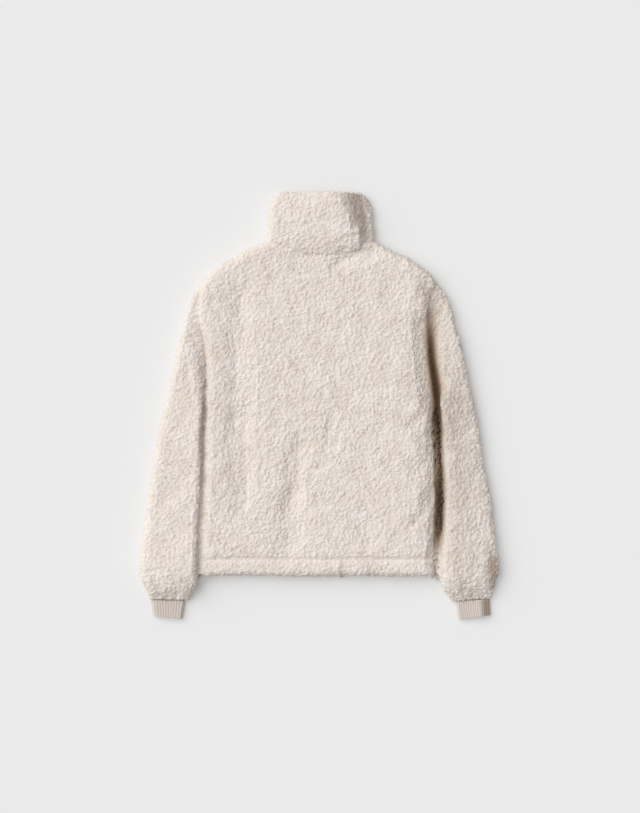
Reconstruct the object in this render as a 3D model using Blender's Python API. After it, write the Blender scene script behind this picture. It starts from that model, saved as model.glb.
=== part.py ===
# A curly fleece jacket laid out face down: the back on top, both fronts beneath it, the sleeves
# along the sides. +Y runs from the hem to the collar and +Z is up from the surface it lies on.
# The wearer's left is at -X. Tables and sizes are in millimetres, meshes in metres.
import math
from collections import namedtuple

import bmesh
import bpy
from mathutils import Matrix, Vector

MM = 0.001

# Gaps between pieces that are sewn together
SEAM_GAP = 0.3

# Cloth walls: the knit ground and the curls on it together
FRONT_WALL = 13.5
BACK_UNDERSIDE = 15.3
BACK_TOP = 30.5
SLEEVE_SIDE_WALL = 16.0
COLLAR_SIDE_WALL = 17.0
CUFF_WALL = 3.6
SLOT = 3.5  # what is left between the collar's two walls, which lie on each other
SLEEVE_SLOT = 2.0

# Body outline
HEM_Y = -315.0
SHOULDER_Y = 231.5
OPENING_HALF = 5.0
NECK_LEFT, NECK_RIGHT = -98.0, 104.5
COLLAR_CORNER_Y = 303.5
NECK_STEPS = 14
EDGE_ROUND = 14.0
FRONT_ROUND = 5.5
HEM_ROUND = 11.0
HEM_STITCH = 31.6

# Collar
COLLAR_TOP_Y = 395.6
COLLAR_FRONT_DROP = 25.0
COLLAR_EDGE = 14.0

# Cuffs
RIB_HEIGHT = 1.1
CUFF_HEIGHT = 11.0

# Zip
TAPE_THICK, TAPE_OUTER = 1.2, 17.0
CHAIN_HALF, CHAIN_THICK = 3.0, 2.8
SLIDER_HALF, SLIDER_LENGTH, SLIDER_THICK = 4.4, 12.0, 4.3
PULL_LENGTH, PULL_HALF, PULL_THICK = 22.0, 3.2, 1.6
BARREL_RADIUS, BARREL_HALF, AXLE_RADIUS, BARREL_BORE = 2.0, 2.1, 0.8, 1.1
LUG_THICK = 1.4

Side = namedtuple("Side", "y left back_right front_right")
SIDES = [
    Side(-315, -219.5, 213.5, 220.3),
    Side(-290, -219.0, 211.5, 219.8),
    Side(-268, -217.5, 213.0, 221.2),
    Side(-248, -216.5, 214.0, 224.0),
    Side(-212, -215.5, 215.5, 225.6),
    Side(-175, -213.0, 217.0, 226.3),
    Side(-137, -211.5, 215.5, 225.5),
    Side(-100, -211.0, 213.5, 223.5),
    Side(-63, -211.0, 211.0, 221.5),
    Side(-30, -210.0, 210.0, 220.8),
    Side(-2, -209.8, 218.3, 218.3),
]

# Armhole seams, from the underarm to the shoulder point, and how far the top surface comes down
# into the seam: 0 is a full drop to the seam's own height and 1 is none.
Armhole = namedtuple("Armhole", "y left right left_keep right_keep")
ARMHOLE = [
    Armhole(-2.0, -209.8, 218.3, 0.38, 0.0),
    Armhole(31.0, -208.0, 215.0, 0.38, 0.0),
    Armhole(65.0, -206.5, 210.0, 0.42, 0.0),
    Armhole(98.0, -207.5, 206.5, 0.50, 0.0),
    Armhole(131.0, -213.0, 204.0, 0.60, 0.02),
    Armhole(165.0, -220.5, 202.0, 0.68, 0.12),
    Armhole(198.0, -219.5, 205.5, 0.60, 0.25),
    Armhole(SHOULDER_Y, -214.6, 215.5, 0.40, 0.30),
]

# Shoulder seams and the back neck, from the left shoulder point to the right one
Top = namedtuple("Top", "x y")
BACK_EDGE = [
    Top(-214.6, SHOULDER_Y), Top(-190.6, 255.0), Top(-175.8, 266.0), Top(-153.6, 277.0),
    Top(-135.0, 288.3), Top(-116.6, 297.5), Top(NECK_LEFT, COLLAR_CORNER_Y), Top(-60.0, 287.0),
    Top(-20.0, 278.5), Top(25.0, 277.5), Top(65.0, 285.0), Top(NECK_RIGHT, COLLAR_CORNER_Y),
    Top(116.6, 296.5), Top(138.8, 284.6), Top(161.0, 276.0), Top(183.2, 262.4),
    Top(205.4, 246.0), Top(215.5, SHOULDER_Y),
]
FRONT_NECK = [Top(84.0, 284.0), Top(50.0, 258.0), Top(20.0, 243.0), Top(OPENING_HALF, 240.0)]

# Soft folds of the back: troughs have a depth above 0, ridges one below 0
Fold = namedtuple("Fold", "x0 y0 x1 y1 width depth")
BACK_FOLDS = [
    Fold(-150, 200, -146, -30, 17, 5.0),
    Fold(-146, -30, -139, -180, 18, 5.4),
    Fold(-196, 120, -194, -230, 14, -1.6),
    Fold(-35, -62, -48, -174, 15, 4.6),
    Fold(-52, -186, -55, -258, 27, 5.0),
    Fold(16, -40, 22, -66, 14, 3.8),
    Fold(76, -222, 92, -246, 17, 4.0),
    Fold(28, 262, 104, 288, 8, 4.4),
    Fold(198, 224, 203, 192, 12, 8.0),
    Fold(194, 150, 206, 10, 17, 10.0),
    Fold(208, -5, 209, -286, 11, 8.0),
    Fold(170, -15, 200, -50, 9, 4.4),
    Fold(174, -120, 202, -88, 9, 4.4),
    Fold(180, -214, 207, -168, 10, 4.4),
    Fold(60, 120, 130, 60, 30, -1.5),
    Fold(-70, 150, 10, 110, 32, -1.4),
]

# Sleeves: a row for each section from its end at the body side to its outer end. The first row
# is the armhole itself. round is the breadth of the outer edge's roll, and keep says how much of
# the armhole's bend a section still has.
Section = namedtuple("Section", "inner_x inner_y outer_x outer_y height round keep")
SLEEVE_LEFT = [
    Section(-209.8, -2, -214.6, 231.5, 28.5, 15, 1.0),
    Section(-211.4, -5, -234.5, 203, 33.0, 16, 0.6),
    Section(-212.0, -9, -244.0, 172, 35.0, 16, 0.3),
    Section(-212.3, -14, -252.0, 139, 36.0, 16, 0.1),
    Section(-212.5, -21, -261.5, 104, 36.0, 16, 0.0),
    Section(-212.6, -30, -271.0, 66, 35.5, 16, 0.0),
    Section(-212.8, -42, -279.5, 30, 35.0, 17, 0.0),
    Section(-213.0, -58, -288.0, -5, 35.5, 17, 0.0),
    Section(-213.0, -78, -296.5, -40, 36.0, 17, 0.0),
    Section(-213.1, -100, -302.5, -75, 36.0, 17, 0.0),
    Section(-213.5, -124, -307.5, -107, 35.0, 17, 0.0),
    Section(-214.1, -150, -313.0, -138, 35.0, 17, 0.0),
    Section(-215.3, -176, -317.0, -169, 36.0, 17, 0.0),
    Section(-217.4, -202, -320.5, -199, 37.0, 17, 0.0),
    Section(-218.5, -228, -325.0, -228, 37.5, 18, 0.0),
    Section(-219.0, -252, -329.0, -254, 38.5, 18, 0.0),
    Section(-220.4, -274, -332.0, -278, 39.5, 18, 0.0),
    Section(-221.6, -294, -333.0, -299, 40.0, 19, 0.0),
    Section(-221.8, -312, -330.5, -316, 39.0, 19, 0.0),
    Section(-219.3, -322, -327.0, -326, 36.5, 18, 0.0),
    Section(-222.0, -332, -322.0, -336, 33.0, 17, 0.0),
    Section(-228.0, -341, -318.5, -345, 27.5, 15, 0.0),
    Section(-235.0, -351, -316.5, -352, 20.5, 11, 0.0),
    Section(-240.0, -360.2, -315.0, -359.2, 15.5, 8, 0.0),
]
SLEEVE_RIGHT = [
    Section(218.3, -2, 215.5, 231.5, 27.0, 15, 1.0),
    Section(219.6, -5, 235.5, 206, 32.0, 16, 0.6),
    Section(220.6, -9, 245.5, 176, 35.0, 16, 0.3),
    Section(221.6, -14, 254.0, 143, 36.0, 16, 0.1),
    Section(222.4, -21, 264.0, 110, 36.0, 16, 0.0),
    Section(222.9, -30, 271.5, 74, 36.0, 16, 0.0),
    Section(223.3, -42, 279.0, 38, 36.0, 17, 0.0),
    Section(223.7, -58, 288.0, 3, 35.0, 17, 0.0),
    Section(224.9, -78, 295.0, -34, 34.5, 17, 0.0),
    Section(226.5, -100, 299.5, -70, 35.5, 17, 0.0),
    Section(227.9, -124, 304.0, -104, 36.0, 17, 0.0),
    Section(228.6, -150, 311.0, -137, 36.0, 17, 0.0),
    Section(228.7, -176, 318.0, -170, 35.0, 17, 0.0),
    Section(228.2, -202, 322.0, -200, 35.5, 18, 0.0),
    Section(227.4, -228, 325.0, -229, 37.0, 19, 0.0),
    Section(226.2, -250, 327.5, -254, 38.5, 22, 0.0),
    Section(223.8, -270, 331.0, -277, 40.0, 27, 0.0),
    Section(222.4, -290, 333.0, -297, 41.0, 30, 0.0),
    Section(222.8, -312, 331.0, -314, 40.0, 29, 0.0),
    Section(224.6, -323, 327.0, -326, 37.5, 24, 0.0),
    Section(227.0, -334, 325.0, -336, 33.5, 18, 0.0),
    Section(230.5, -343, 321.0, -345, 28.0, 14, 0.0),
    Section(237.5, -352.5, 319.0, -352, 21.0, 11, 0.0),
    Section(246.5, -361.7, 319.0, -357.0, 15.5, 8, 0.0),
]
SLEEVE_FOLDS = [
    Fold(-252, 60, -222, 20, 12, 2.6),
    Fold(-290, -60, -232, -86, 13, 2.4),
    Fold(-262, -150, -300, -196, 14, 2.2),
    Fold(-232, -222, -276, -250, 13, 2.4),
    Fold(250, 96, 228, 40, 12, 2.8),
    Fold(238, -64, 282, -40, 12, 2.4),
    Fold(262, -128, 302, -150, 13, 2.4),
    Fold(244, -206, 296, -232, 14, 2.6),
    Fold(316, -276, 324, -322, 11, 2.4),
    Fold(-318, -290, -300, -322, 8, 2.0),
]
SLEEVE_INNER_ROUND = {"left": 12.0, "right": 23.0}
SLEEVE_FALL = {"left": 7.0, "right": 14.0}  # how far the top comes down on its way outwards
GATHER = 1.3  # how far each gather stands up where a sleeve is drawn in
GATHERED_ROWS = 4

# The collar from the neck seam up: its two edges, the ridge where it buckles, and heights
Level = namedtuple("Level", "up left right ridge_x ridge plateau trough tuck")
COLLAR = [
    Level(0.00, -98.0, 104.5, 78.0, 33.0, 30.0, 24.0, 0.0),
    Level(0.12, -96.2, 103.0, 74.0, 39.5, 34.0, 19.5, 0.0),
    Level(0.30, -95.0, 101.0, 66.0, 43.5, 37.0, 17.0, 0.0),
    Level(0.50, -94.6, 99.5, 57.0, 44.5, 38.0, 16.5, 0.0),
    Level(0.68, -93.5, 98.3, 48.0, 45.0, 38.0, 16.5, 0.0),
    Level(0.83, -89.5, 94.5, 41.0, 45.0, 37.5, 16.5, 0.03),
    Level(0.93, -83.5, 88.0, 37.0, 44.5, 37.0, 16.5, 0.14),
    Level(0.98, -79.0, 83.0, 35.5, 43.5, 36.5, 16.5, 0.42),
    Level(1.00, -76.0, 80.0, 35.0, 42.0, 36.0, 16.5, 0.80),
]

# Cuffs: the two corners at the sleeve, the two at the hand, and the line where the top folds over
Cuff = namedtuple("Cuff", "inner outer inner_hand outer_hand fold crown ribs")
CUFFS = {
    "cuff_left": Cuff((-247.9, -360.7), (-312.7, -359.8), (-253.5, -395.3), (-308.0, -390.0),
                      0.86, 11.0, 11),
    "cuff_right": Cuff((253.5, -362.2), (317.3, -357.8), (258.3, -395.6), (319.1, -388.0),
                       0.70, 15.5, 14),
}
CUFF_EDGE = 5.0
CUFF_LEVELS = ((0.0, 1.0), (0.5, 1.0), (0.93, 1.0), (1.0, 0.25))  # way down, share of rib height

FLEECE = (0.80, 0.72, 0.63)
RIB_KNIT = (0.74, 0.65, 0.57)
ZIP_CLOTH = (0.66, 0.58, 0.49)
ZIP_METAL = (0.60, 0.56, 0.50)


def straight(rows, key, value, at):
    # Reads a table's column between two rows on a straight line
    ordered = sorted(rows, key=lambda row: getattr(row, key))
    for low, high in zip(ordered, ordered[1:]):
        if at <= getattr(high, key):
            break
    span = getattr(high, key) - getattr(low, key)
    share = min(max((at - getattr(low, key)) / span, 0.0), 1.0)
    return getattr(low, value) * (1 - share) + getattr(high, value) * share


def roll(distance, breadth, keep=0.0):
    # Height share of a rounded edge: keep at the edge itself, 1 from the roll's breadth inwards
    if distance >= breadth:
        return 1.0
    way = 1 - max(distance, 0.0) / breadth
    return keep + (1 - keep) * math.sqrt(1 - way * way)


def fold_depth(folds, x, y):
    depth = 0.0
    for fold in folds:
        start, end = Vector((fold.x0, fold.y0)), Vector((fold.x1, fold.y1))
        along = end - start
        way = min(max((Vector((x, y)) - start).dot(along) / along.length_squared, 0.0), 1.0)
        away = (Vector((x, y)) - start - along * way).length / fold.width
        depth += fold.depth * math.exp(-away * away)
    return depth


def side_x(piece, side, y):
    if y >= ARMHOLE[0].y:
        return straight(ARMHOLE, "y", side, y)
    column = "left" if side == "left" else piece + "_right"
    return straight(SIDES, "y", column, y)


def keep_at(side, y):
    return straight(ARMHOLE, "y", side + "_keep", max(y, ARMHOLE[0].y))


def hem_line(x):
    # The hem hangs a little uneven
    return HEM_Y + 0.9 * math.sin(x / 31.0) - 1.1 * math.exp(-((x - 15.0) / 35.0) ** 2)


def back_height(x, y, top):
    left = roll(x - side_x("back", "left", y), EDGE_ROUND, keep_at("left", y))
    right = roll(side_x("back", "right", y) - x, EDGE_ROUND, keep_at("right", y))
    hem = roll(y - hem_line(x), HEM_ROUND, 0.12)
    on_neck = NECK_LEFT < x < NECK_RIGHT
    upper = roll(top - y, 9.0, 0.93) if on_neck else roll((top - y) * 0.86, EDGE_ROUND)
    lowest = BACK_UNDERSIDE + 1.2
    stitch = 2.4 * math.exp(-((y - hem_line(x) - HEM_STITCH) / 4.5) ** 2)
    full = BACK_TOP - fold_depth(BACK_FOLDS, x, y) - stitch
    return lowest + (full - lowest) * left * right * hem * upper


def new_piece(name, bm, colour, roughness=0.95, metallic=0.0):
    bmesh.ops.recalc_face_normals(bm, faces=bm.faces[:])
    bmesh.ops.transform(bm, matrix=Matrix.Scale(MM, 4), verts=bm.verts[:])
    mesh = bpy.data.meshes.new(name)
    bm.to_mesh(mesh)
    bm.free()
    mesh.shade_smooth()
    mesh.set_sharp_from_angle(angle=math.radians(55))
    material = bpy.data.materials.new(name)
    material.use_nodes = True
    shader = material.node_tree.nodes["Principled BSDF"]
    shader.inputs["Base Color"].default_value = (*colour, 1.0)
    shader.inputs["Roughness"].default_value = roughness
    shader.inputs["Metallic"].default_value = metallic
    mesh.materials.append(material)
    piece = bpy.data.objects.new(name, mesh)
    parts.objects.link(piece)
    return piece


def add_grid(bm, rows):
    # Faces between rows of equal length; each row is a list of vertices
    for low, high in zip(rows, rows[1:]):
        for k in range(len(low) - 1):
            bm.faces.new((low[k], low[k + 1], high[k + 1], high[k]))


def neck_columns():
    return [NECK_LEFT + (NECK_RIGHT - NECK_LEFT) * k / NECK_STEPS for k in range(NECK_STEPS + 1)]


def back_columns():
    # Places across the shoulder-point line, close together where the edges roll
    near = (0.0, 1.2, 4.5, 9.0, 15.0)
    left, right = ARMHOLE[-1].left, ARMHOLE[-1].right
    wing = 5
    places = [left + step for step in near]
    places += [left + 15 + (NECK_LEFT - left - 15) * k / wing for k in range(1, wing)]
    places += neck_columns()
    places += [NECK_RIGHT + (right - 15 - NECK_RIGHT) * k / wing for k in range(1, wing)]
    places += [right - step for step in reversed(near)]
    return places


def back_rows():
    # Heights up the side edge, close together at the hem, its stitch line and the shoulder
    hem = [HEM_Y + step for step in (0.0, 1.0, 3.6, 7.5, 11.5, 19.0, 26.0, 29.5, 33.5, 40.0)]
    plain = 12
    body = [-258.0 + (-2.0 + 258.0) * k / plain for k in range(plain + 1)]
    arm = []
    for low, high in zip(ARMHOLE[:-1], ARMHOLE[1:]):
        arm += [(low.y + high.y) / 2, high.y]
    shoulder = [SHOULDER_Y - step for step in (8.5, 4.2, 1.2)]
    return hem + body + arm[:-1] + shoulder + arm[-1:]


def back_panel():
    bm = bmesh.new()
    left, right = ARMHOLE[-1].left, ARMHOLE[-1].right
    rows = []
    for height in back_rows():
        up = (height - HEM_Y) / (SHOULDER_Y - HEM_Y)
        row = []
        for place in back_columns():
            across = (place - left) / (right - left)
            top = straight(BACK_EDGE, "x", "y", place)
            hem = hem_line(place)
            y = hem + (top - hem) * up
            edge_left, edge_right = side_x("back", "left", y), side_x("back", "right", y)
            x = edge_left + (edge_right - edge_left) * across
            row.append(bm.verts.new((x, y, back_height(x, y, top))))
        rows.append(row)
    add_grid(bm, rows)
    rim = [e for e in bm.edges if e.is_boundary]
    lower = bmesh.ops.extrude_edge_only(bm, edges=rim)["geom"]
    for vert in [g for g in lower if isinstance(g, bmesh.types.BMVert)]:
        vert.co.z = BACK_UNDERSIDE
    bmesh.ops.contextual_create(bm, geom=[e for e in bm.edges if e.is_boundary])
    return new_piece("back_panel", bm, FLEECE)


def front_outline(side):
    # From the centre front at the hem, out along it, up the side, in to the neck and down
    sign = -1 if side == "left" else 1
    steps = 6
    wide = abs(side_x("front", side, HEM_Y))
    points = []
    for k in range(steps):
        x = sign * (OPENING_HALF + (wide - OPENING_HALF) * k / steps)
        points.append((x, hem_line(x)))
    points += [(side_x("front", side, row.y), row.y) for row in SIDES]
    points += [(side_x("front", side, row.y), row.y) for row in ARMHOLE[1:-1]]
    shoulder = [p for p in BACK_EDGE if p.x * sign >= abs(NECK_LEFT if sign < 0 else NECK_RIGHT)]
    shoulder.sort(key=lambda p: -p.x * sign)
    points += [(p.x, p.y) for p in shoulder]
    points += [(p.x * sign, p.y) for p in FRONT_NECK]
    return points


def front_panel(side):
    bm = bmesh.new()
    face = bm.faces.new([bm.verts.new((x, y, 0.0)) for x, y in front_outline(side)])
    raised = bmesh.ops.extrude_face_region(bm, geom=[face])["geom"]
    top = [g for g in raised if isinstance(g, bmesh.types.BMVert)]
    bmesh.ops.translate(bm, verts=top, vec=(0, 0, FRONT_WALL))
    rolled = []
    for edge in bm.edges:
        middle = (edge.verts[0].co + edge.verts[1].co) / 2
        level = abs(edge.verts[0].co.z - edge.verts[1].co.z) < 0.01
        at_hem = middle.y < HEM_Y + 3 and abs(middle.x) > OPENING_HALF + 1
        at_side = abs(middle.x) > 150 and middle.y < ARMHOLE[0].y - 1
        under_shoulder = middle.z < 1 and middle.y > SHOULDER_Y and abs(middle.x) > 100
        if level and (at_hem or at_side or under_shoulder):
            rolled.append(edge)
    bmesh.ops.bevel(bm, geom=rolled, offset=FRONT_ROUND, offset_type="OFFSET", segments=3,
                    profile=0.5, affect="EDGES", clamp_overlap=False, material=-1)
    return new_piece("front_" + side, bm, FLEECE)


def armhole_shares():
    # Where the armhole's own points lie on the way from the underarm to the shoulder point
    low, high = ARMHOLE[0].y, ARMHOLE[-1].y
    return [(row.y - low) / (high - low) for row in ARMHOLE[1:-1]]


def armhole_bend(side, share):
    low, high = ARMHOLE[0], ARMHOLE[-1]
    line = getattr(low, side) * (1 - share) + getattr(high, side) * share
    return straight(ARMHOLE, "y", side, low.y + (high.y - low.y) * share) - line


def sleeve_sections(side, section, index, count):
    # One ring of the outer surface and the four corners of the slot inside it
    start, end = Vector((section.inner_x, section.inner_y)), Vector((section.outer_x, section.outer_y))
    width = (end - start).length
    away = -SEAM_GAP if side == "left" else SEAM_GAP
    inner_round = min(SLEEVE_INNER_ROUND[side], section.round * 1.5)
    foot = inner_round * 0.5
    middle = section.height * 0.44
    tail = max(0.0, 1 - (count - 1 - index) / GATHERED_ROWS)

    def place(distance, z):
        share = distance / width
        x, y = start.lerp(end, share)
        bend = armhole_bend(side, share) * section.keep
        return Vector((x + bend + away * (1 if index == 0 else 2), y, z))

    def crown(distance):
        spot = place(distance, 0)
        seam = keep_at(side, ARMHOLE[0].y + (SHOULDER_Y - ARMHOLE[0].y) * distance / width)
        seam_share = (seam + (1 - seam) * (1 - section.keep)) if section.keep else 1.0
        full = middle + (section.height - middle) * (0.35 + 0.65 * seam_share)
        full -= fold_depth(SLEEVE_FOLDS, spot.x, spot.y) * (1 - section.keep)
        full -= SLEEVE_FALL[side] * (distance / width) ** 1.2 * (1 - section.keep ** 3) * (middle / 16)
        edges = roll(distance, inner_round) * roll(width - distance, section.round)
        return middle + (full - middle) * edges

    steps = (0.134, 0.5, 1.0)
    low, high = inner_round, width - section.round
    inside = []
    for share in armhole_shares():
        even = low + (high - low) * share
        inside.append(width * share * section.keep + even * (1 - section.keep))
    ring = [place(0, middle)]
    ring += [place(foot * s, middle * (1 - math.sqrt(1 - (1 - s) ** 2))) for s in steps]
    ring += [place(distance, 0) for distance in inside]
    ring += [place(width - foot * s, middle * (1 - math.sqrt(1 - (1 - s) ** 2)))
             for s in reversed(steps)]
    ring.append(place(width, middle))
    ring += [place(width - section.round * s, crown(width - section.round * s)) for s in steps]
    for k, distance in enumerate(reversed(inside)):
        lift = GATHER * tail * (1 if k % 2 else -1)
        ring.append(place(distance, crown(distance) + lift))
    ring += [place(inner_round * s, crown(inner_round * s)) for s in reversed(steps)]
    wall = min(SLEEVE_SIDE_WALL, width * 0.2)
    low_z = section.height * 0.45 - SLEEVE_SLOT / 2
    reach = [wall] + [min(max(d, wall + 1), width - wall - 1) for d in inside] + [width - wall]
    slot = [place(distance, low_z) for distance in reach]
    slot += [place(distance, low_z + SLEEVE_SLOT) for distance in reversed(reach)]
    return ring, slot


def close_wide_end(bm, ring, slot):
    # The cut end of a sleeve: strips under and over the slot, which follow the armhole's bend,
    # and one flat face round each edge
    count = len(slot) // 2
    add_grid(bm, [ring[3:3 + count], slot[:count]])
    top = 3 + count + 5
    add_grid(bm, [ring[top:top + count], slot[count:]])
    bm.faces.new(ring[3 + count - 1:top + 1] + [slot[count], slot[count - 1]])
    bm.faces.new(ring[top + count - 1:] + ring[:4] + [slot[0], slot[-1]])


def close_narrow_end(bm, ring, slot, low_break, high_break):
    # The cut end of a cuff as two flat faces that meet beside the slot
    bm.faces.new(ring[low_break:high_break + 1] + [slot[2], slot[1]])
    bm.faces.new(ring[high_break:] + ring[:low_break + 1] + [slot[1], slot[0], slot[3], slot[2]])


def tube_piece(name, sections, colour, close_end, *breaks):
    bm = bmesh.new()
    rings = [[bm.verts.new(p) for p in ring] for ring, _ in sections]
    slots = [[bm.verts.new(p) for p in slot] for _, slot in sections]
    for loops in (rings, slots):
        add_grid(bm, [loop + loop[:1] for loop in loops])
    for end in (0, -1):
        close_end(bm, rings[end], slots[end], *breaks)
    return new_piece(name, bm, colour)


def sleeve(side, table):
    count = len(table)
    sections = [sleeve_sections(side, row, k, count) for k, row in enumerate(table)]
    return tube_piece("sleeve_" + side, sections, FLEECE, close_wide_end)


def collar_height(level, x):
    # The upper wall from edge to edge: a gentle rise to the ridge, then a steep fall to a trough
    inner_left, inner_right = level.left + COLLAR_EDGE, level.right - COLLAR_EDGE * 0.4
    shape = [
        Top(inner_left, level.plateau - 2.0),
        Top(inner_left + 35, level.plateau),
        Top(level.ridge_x - 30, level.ridge - 2.0),
        Top(level.ridge_x - 4, level.ridge),
        Top(level.ridge_x + 5, level.ridge - 2.5),
        Top(max(level.ridge_x + 13, level.right - 13), level.trough + 1.5),
        Top(max(level.ridge_x + 16, inner_right), level.trough),
    ]
    return straight(shape, "x", "y", x)


def collar_ring(level):
    # Outer and inner points from the left centre-front edge round the back to the right one
    steps = (0.134, 0.5, 1.0)
    outer, inner, base_y, frontness = [], [], [], []

    def add(x, z, inner_x, inner_z, seam_y, front):
        outer.append((x, z))
        inner.append((inner_x, inner_z))
        base_y.append(seam_y)
        frontness.append(front)

    def lower_side(sign):
        edge = level.left if sign < 0 else level.right
        seam = NECK_LEFT if sign < 0 else NECK_RIGHT
        for row in reversed(FRONT_NECK):
            slot_z = FRONT_WALL if row.x < 25 else slot_centre(sign * row.x) - SLOT / 2
            squeeze = edge / seam if row.x > 60 else 1.0
            yield (sign * row.x * squeeze, 0.0, sign * min(row.x, abs(edge) - 20), slot_z,
                   row.y, 1 - (row.x - OPENING_HALF) / (84.0 - OPENING_HALF) * 0.75)

    def slot_centre(x):
        if abs(x) < 21:
            return FRONT_WALL + SLOT / 2
        return min(BACK_UNDERSIDE - SEAM_GAP + SLOT / 2, collar_height(level, x) * 0.46)

    def edge_points(sign):
        edge = level.left if sign < 0 else level.right
        seam = NECK_LEFT if sign < 0 else NECK_RIGHT
        crown = collar_height(level, edge - sign * COLLAR_EDGE)
        middle = crown * 0.42
        centre = slot_centre(edge - sign * (COLLAR_SIDE_WALL + 2))
        foot = COLLAR_EDGE * 0.45
        profile = [(foot * s, middle * (1 - math.sqrt(1 - (1 - s) ** 2))) for s in (0.5, 0.134)]
        profile.append((0.0, middle))
        breadth = COLLAR_EDGE if sign < 0 else COLLAR_EDGE * 0.7
        for s in steps:
            height = collar_height(level, edge - sign * breadth * s)
            profile.append((breadth * s, middle + (height - middle) * math.sqrt(1 - (1 - s) ** 2)))
        count = len(profile)
        for k, (inset, z) in enumerate(profile):
            turn = math.pi * (k + 0.5) / count
            inner_x = edge - sign * (COLLAR_SIDE_WALL + SLOT / 2 * (1 - math.sin(turn)))
            share = max(0.0, 1 - k / 2)
            if k > 1:
                seam_y = straight(BACK_EDGE, "x", "y", seam - sign * inset)
            else:
                corner = [FRONT_NECK[0], Top(abs(seam), COLLAR_CORNER_Y)]
                seam_y = straight(corner, "x", "y", abs(seam) - inset)
            yield (edge - sign * inset, z, inner_x, centre - SLOT / 2 * math.cos(turn),
                   seam_y, 0.2 * share)

    for values in lower_side(-1):
        add(*values)
    for values in edge_points(-1):
        add(*values)
    seam_columns = neck_columns()[2:-1]
    span = seam_columns[-1] - seam_columns[0]
    low, high = level.left + COLLAR_EDGE + 5, level.right - COLLAR_EDGE * 0.7 - 4
    for seam_x in seam_columns:
        share = (seam_x - seam_columns[0]) / span
        fitted = low + (high - low) * share
        x = seam_x if level.up == 0 else fitted
        add(x, collar_height(level, x), x, slot_centre(x) + SLOT / 2,
            straight(BACK_EDGE, "x", "y", seam_x), 0.0)
    for values in reversed(list(edge_points(1))):
        add(*values)
    for values in reversed(list(lower_side(1))):
        add(*values)
    return outer, inner, base_y, frontness


def collar():
    bm = bmesh.new()
    outer_rows, inner_rows = [], []
    for level in COLLAR:
        outer, inner, base_y, frontness = collar_ring(level)
        outer_row, inner_row = [], []
        for (x, z), (inner_x, inner_z), seam_y, front in zip(outer, inner, base_y, frontness):
            low = seam_y + SEAM_GAP
            high = COLLAR_TOP_Y - COLLAR_FRONT_DROP * front
            y = low + (high - low) * level.up
            wall_x, wall_z = (x + inner_x) / 2, (z + inner_z) / 2
            tuck = level.tuck
            outer_row.append(bm.verts.new((x + (wall_x - x) * tuck, y, z + (wall_z - z) * tuck)))
            inner_row.append(bm.verts.new((inner_x + (wall_x - inner_x) * tuck, y,
                                           inner_z + (wall_z - inner_z) * tuck)))
        outer_rows.append(outer_row)
        inner_rows.append(inner_row)
    add_grid(bm, outer_rows)
    add_grid(bm, inner_rows)
    add_grid(bm, [outer_rows[0], inner_rows[0]])
    add_grid(bm, [outer_rows[-1], inner_rows[-1]])
    for end in (0, -1):
        add_grid(bm, [[row[end] for row in outer_rows], [row[end] for row in inner_rows]])
    return new_piece("collar", bm, FLEECE)


def cuff(name):
    data = CUFFS[name]
    steps = (0.134, 0.5, 1.0)
    sections = []
    for down, rib_share in CUFF_LEVELS:
        start = Vector(data.inner).lerp(Vector(data.inner_hand), down)
        end = Vector(data.outer).lerp(Vector(data.outer_hand), down)
        width = (end - start).length
        middle = CUFF_HEIGHT * 0.42
        fold = width * data.fold

        def crown(distance):
            if distance < fold:
                rise = distance / fold
                return CUFF_HEIGHT + (data.crown - CUFF_HEIGHT) * rise ** 2
            fall = (distance - fold) / (width - fold)
            return data.crown + (CUFF_HEIGHT * 0.75 - data.crown) * fall

        def place(distance, z):
            x, y = start.lerp(end, distance / width)
            return Vector((x, y, z))

        foot = CUFF_EDGE * 0.6
        ring = [place(0, middle)]
        ring += [place(foot * s, middle * (1 - math.sqrt(1 - (1 - s) ** 2))) for s in steps]
        ring += [place(width - foot * s, middle * (1 - math.sqrt(1 - (1 - s) ** 2)))
                 for s in reversed(steps)]
        ring.append(place(width, middle))
        breadth = width - 2 * foot
        for k in range(data.ribs * 3 + 1):
            distance = width - foot - breadth * k / (data.ribs * 3)
            edge = roll(min(distance, width - distance), CUFF_EDGE, 0.0)
            raised = RIB_HEIGHT * rib_share * (-1 if k % 3 == 0 else 0)
            top = crown(distance) + raised
            ring.append(place(distance, middle + (top - middle) * edge))
        inset = CUFF_WALL + 1.5
        low_z, high_z = CUFF_WALL, CUFF_WALL + SLOT
        slot = [place(inset, low_z), place(width - inset, low_z),
                place(width - inset, low_z + SLOT * 0.6), place(inset, high_z)]
        sections.append((ring, slot))
    half = 8 + data.ribs * 3 // 2
    return tube_piece(name, sections, RIB_KNIT, close_narrow_end, 4, half)


def block(bm, low, high):
    made = bmesh.ops.create_cube(bm, size=1.0)["verts"]
    low, high = Vector(low), Vector(high)
    bmesh.ops.scale(bm, vec=high - low, verts=made)
    bmesh.ops.translate(bm, vec=(low + high) / 2, verts=made)
    return made


def bar_across(bm, radius, half, y, z, segments=16):
    turned = Matrix.Translation((0, y, z)) @ Matrix.Rotation(math.pi / 2, 4, "Y")
    bmesh.ops.create_cone(bm, cap_ends=True, segments=segments, radius1=radius, radius2=radius,
                          depth=2 * half, matrix=turned)


def soften(bm, offset, segments=2):
    bmesh.ops.bevel(bm, geom=bm.edges[:], offset=offset, offset_type="OFFSET", segments=segments,
                    profile=0.5, affect="EDGES", clamp_overlap=True, material=-1)


def hidden_cutter(name, bm):
    bmesh.ops.transform(bm, matrix=Matrix.Scale(MM, 4), verts=bm.verts[:])
    mesh = bpy.data.meshes.new(name)
    bm.to_mesh(mesh)
    bm.free()
    tool = bpy.data.objects.new(name, mesh)
    tool.hide_render = True
    tool.display_type = "WIRE"
    cutters.objects.link(tool)
    return tool


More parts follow.
